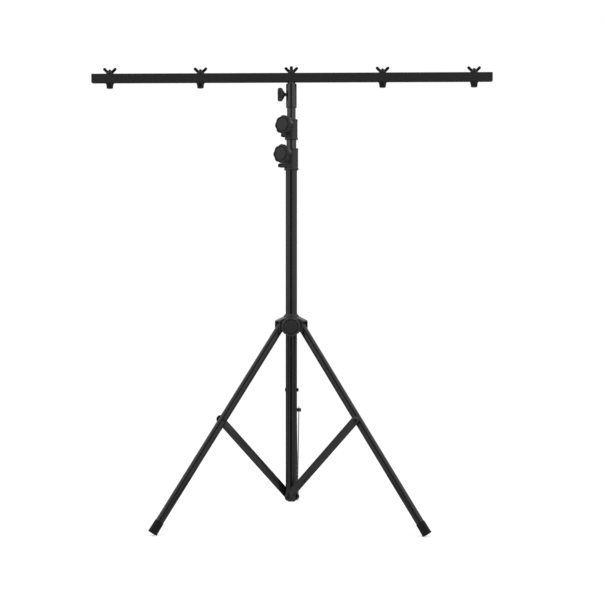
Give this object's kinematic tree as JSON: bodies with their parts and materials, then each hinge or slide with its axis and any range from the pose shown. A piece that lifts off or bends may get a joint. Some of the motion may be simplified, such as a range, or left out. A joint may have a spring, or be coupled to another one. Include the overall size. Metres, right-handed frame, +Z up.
{
  "type": "lighting t bar stand",
  "caption": "Telescoping lighting stand on a folding tripod, with a square crossbar that carries fixtures on bolts and wing nuts.",
  "frame": {"origin": "on the floor, at the middle of the stand's bounding box; the mast's axis is at x 0, y -0.111", "axes": "+Z up along the mast, +X along the crossbar to the right as seen from the front, +Y to the back, where the single rear leg points"},
  "size_m": [1.2, 0.698, 1.3669],
  "materials": {
    "painted_steel": "semi-gloss black powder coat",
    "bar_steel": "satin black powder coat",
    "dark_fastener": "black oxide",
    "moulded_black": "fine moulded texture",
    "knob_plastic": "satin moulded",
    "bush_plastic": "matte moulded",
    "foot_rubber": "matte rubber"
  },
  "bodies": {
    "lower_mast": {"lower_mast": "painted_steel", "stop_bolt": "dark_fastener", "brace_bracket": "moulded_black", "bracket_screw_left": "dark_fastener", "bracket_screw_right": "dark_fastener", "bracket_screw_back": "dark_fastener", "lower_clamp": "moulded_black", "lower_guide_bush": "bush_plastic", "lower_clamp_screw": "dark_fastener"},
    "lower_clamp_knob": {"lower_clamp_knob": "knob_plastic", "lower_clamp_stud": "dark_fastener"},
    "middle_tube": {"middle_tube": "painted_steel", "middle_foot_bush": "bush_plastic", "upper_clamp": "moulded_black", "upper_guide_bush": "bush_plastic", "upper_clamp_screw": "dark_fastener"},
    "upper_clamp_knob": {"upper_clamp_knob": "knob_plastic", "upper_clamp_stud": "dark_fastener"},
    "top_tube": {"top_tube": "painted_steel", "top_foot_bush": "bush_plastic"},
    "socket": {"socket": "painted_steel", "bar_post": "dark_fastener"},
    "thumb_screw": {"thumb_screw": "knob_plastic"},
    "centre_wing_nut": {"centre_wing_nut": "dark_fastener"},
    "t_bar": {"t_bar": "bar_steel", "end_cap_left": "bush_plastic", "end_cap_right": "bush_plastic"},
    "fixture_bolt_1": {"fixture_bolt_1": "dark_fastener"},
    "fixture_bolt_2": {"fixture_bolt_2": "dark_fastener"},
    "fixture_bolt_3": {"fixture_bolt_3": "dark_fastener"},
    "fixture_bolt_4": {"fixture_bolt_4": "dark_fastener"},
    "wing_nut_1": {"wing_nut_1": "dark_fastener"},
    "wing_nut_2": {"wing_nut_2": "dark_fastener"},
    "wing_nut_3": {"wing_nut_3": "dark_fastener"},
    "wing_nut_4": {"wing_nut_4": "dark_fastener"},
    "hub": {"hub": "moulded_black", "hub_bush": "bush_plastic", "hub_pivot_rivet_left": "dark_fastener", "hub_pivot_rivet_right": "dark_fastener", "hub_pivot_rivet_back": "dark_fastener"},
    "hub_knob": {"hub_knob": "knob_plastic", "hub_stud": "dark_fastener"},
    "leg_left": {"leg_tube_left": "painted_steel", "leg_plug_left": "moulded_black", "leg_bolt_left": "dark_fastener", "foot_left": "foot_rubber"},
    "leg_right": {"leg_tube_right": "painted_steel", "leg_plug_right": "moulded_black", "leg_bolt_right": "dark_fastener", "foot_right": "foot_rubber"},
    "leg_back": {"leg_tube_back": "painted_steel", "leg_plug_back": "moulded_black", "leg_bolt_back": "dark_fastener", "foot_back": "foot_rubber"},
    "brace_left": {"brace_left": "painted_steel", "brace_nut_left": "dark_fastener"},
    "brace_right": {"brace_right": "painted_steel", "brace_nut_right": "dark_fastener"},
    "brace_back": {"brace_back": "painted_steel", "brace_nut_back": "dark_fastener"}
  },
  "joints": [
    {"name": "hub_slide", "type": "slide", "parent": "lower_mast", "child": "hub", "axis": [0, 0, 1], "range_m": [0, 0.1494]},
    {"name": "leg_left_fold", "type": "hinge", "parent": "hub", "child": "leg_left", "pos_m": [-0.03118, -0.12902, 0.58763], "axis": [0.5, -0.866, 0], "range_deg": [0, 35.37]},
    {"name": "leg_right_fold", "type": "hinge", "parent": "hub", "child": "leg_right", "pos_m": [0.03118, -0.12902, 0.58763], "axis": [0.5, 0.866, 0], "range_deg": [0, 35.37]},
    {"name": "leg_back_fold", "type": "hinge", "parent": "hub", "child": "leg_back", "pos_m": [0, -0.07502, 0.58763], "axis": [-1, 0, 0], "range_deg": [0, 35.37]},
    {"name": "brace_left_fold", "type": "hinge", "parent": "lower_mast", "child": "brace_left", "pos_m": [0, -0.11102, 0.079], "axis": [-0.5, 0.866, 0], "range_deg": [0, 37.2]},
    {"name": "brace_right_fold", "type": "hinge", "parent": "lower_mast", "child": "brace_right", "pos_m": [0, -0.11102, 0.079], "axis": [-0.5, -0.866, 0], "range_deg": [0, 37.2]},
    {"name": "brace_back_fold", "type": "hinge", "parent": "lower_mast", "child": "brace_back", "pos_m": [0, -0.11102, 0.079], "axis": [1, 0, 0], "range_deg": [0, 37.2]},
    {"name": "hub_knob_turn", "type": "hinge", "parent": "hub", "child": "hub_knob", "pos_m": [0, -0.15342, 0.58763], "axis": [0, -1, 0], "range_deg": [0, 720]},
    {"name": "middle_tube_slide", "type": "slide", "parent": "lower_mast", "child": "middle_tube", "axis": [0, 0, 1], "range_m": [0, 0.56]},
    {"name": "lower_clamp_knob_turn", "type": "hinge", "parent": "lower_mast", "child": "lower_clamp_knob", "pos_m": [-0.02353, -0.14867, 1.1006], "axis": [-0.5299, -0.848, 0], "range_deg": [0, 720]},
    {"name": "top_tube_slide", "type": "slide", "parent": "middle_tube", "child": "top_tube", "axis": [0, 0, 1], "range_m": [0, 0.62]},
    {"name": "upper_clamp_knob_turn", "type": "hinge", "parent": "middle_tube", "child": "upper_clamp_knob", "pos_m": [-0.01876, -0.14104, 1.1876], "axis": [-0.5299, -0.848, 0], "range_deg": [0, 720]},
    {"name": "socket_lift", "type": "slide", "parent": "top_tube", "child": "socket", "axis": [0, 0, 1], "range_m": [0, 0.08]},
    {"name": "thumb_screw_turn", "type": "hinge", "parent": "socket", "child": "thumb_screw", "pos_m": [-0.0254, -0.11102, 1.2826], "axis": [-1, 0, 0], "range_deg": [0, 720]},
    {"name": "centre_wing_nut_turn", "type": "hinge", "parent": "socket", "child": "centre_wing_nut", "pos_m": [0, -0.11102, 1.3512], "axis": [0, 0, 1], "range_deg": [0, 1080]},
    {"name": "bar_swivel", "type": "hinge", "parent": "socket", "child": "t_bar", "pos_m": [0, -0.11102, 1.3329], "axis": [0, 0, 1], "continuous": true},
    {"name": "wing_nut_1_turn", "type": "hinge", "parent": "t_bar", "child": "wing_nut_1", "pos_m": [-0.546, -0.11102, 1.3512], "axis": [0, 0, 1], "range_deg": [0, 2161]},
    {"name": "wing_nut_2_turn", "type": "hinge", "parent": "t_bar", "child": "wing_nut_2", "pos_m": [-0.273, -0.11102, 1.3512], "axis": [0, 0, 1], "range_deg": [0, 2161]},
    {"name": "wing_nut_3_turn", "type": "hinge", "parent": "t_bar", "child": "wing_nut_3", "pos_m": [0.273, -0.11102, 1.3512], "axis": [0, 0, 1], "range_deg": [0, 2161]},
    {"name": "wing_nut_4_turn", "type": "hinge", "parent": "t_bar", "child": "wing_nut_4", "pos_m": [0.546, -0.11102, 1.3512], "axis": [0, 0, 1], "range_deg": [0, 2161]},
    {"name": "fixture_bolt_1_drop", "type": "slide", "parent": "t_bar", "child": "fixture_bolt_1", "axis": [0, 0, -1], "range_m": [0, 0.0075]},
    {"name": "fixture_bolt_2_drop", "type": "slide", "parent": "t_bar", "child": "fixture_bolt_2", "axis": [0, 0, -1], "range_m": [0, 0.0075]},
    {"name": "fixture_bolt_3_drop", "type": "slide", "parent": "t_bar", "child": "fixture_bolt_3", "axis": [0, 0, -1], "range_m": [0, 0.0075]},
    {"name": "fixture_bolt_4_drop", "type": "slide", "parent": "t_bar", "child": "fixture_bolt_4", "axis": [0, 0, -1], "range_m": [0, 0.0075]}
  ],
  "couplings": [
    {"joint": "leg_left_fold", "follows": "hub_slide", "rad_per_m": 4.1315},
    {"joint": "leg_right_fold", "follows": "hub_slide", "rad_per_m": 4.1315},
    {"joint": "leg_back_fold", "follows": "hub_slide", "rad_per_m": 4.1315},
    {"joint": "brace_left_fold", "follows": "hub_slide", "rad_per_m": 4.3454},
    {"joint": "brace_right_fold", "follows": "hub_slide", "rad_per_m": 4.3454},
    {"joint": "brace_back_fold", "follows": "hub_slide", "rad_per_m": 4.3454},
    {"joint": "wing_nut_1_turn", "follows": "fixture_bolt_1_drop", "rad_per_m": 5026.5},
    {"joint": "wing_nut_2_turn", "follows": "fixture_bolt_2_drop", "rad_per_m": 5026.5},
    {"joint": "wing_nut_3_turn", "follows": "fixture_bolt_3_drop", "rad_per_m": 5026.5},
    {"joint": "wing_nut_4_turn", "follows": "fixture_bolt_4_drop", "rad_per_m": 5026.5}
  ]
}
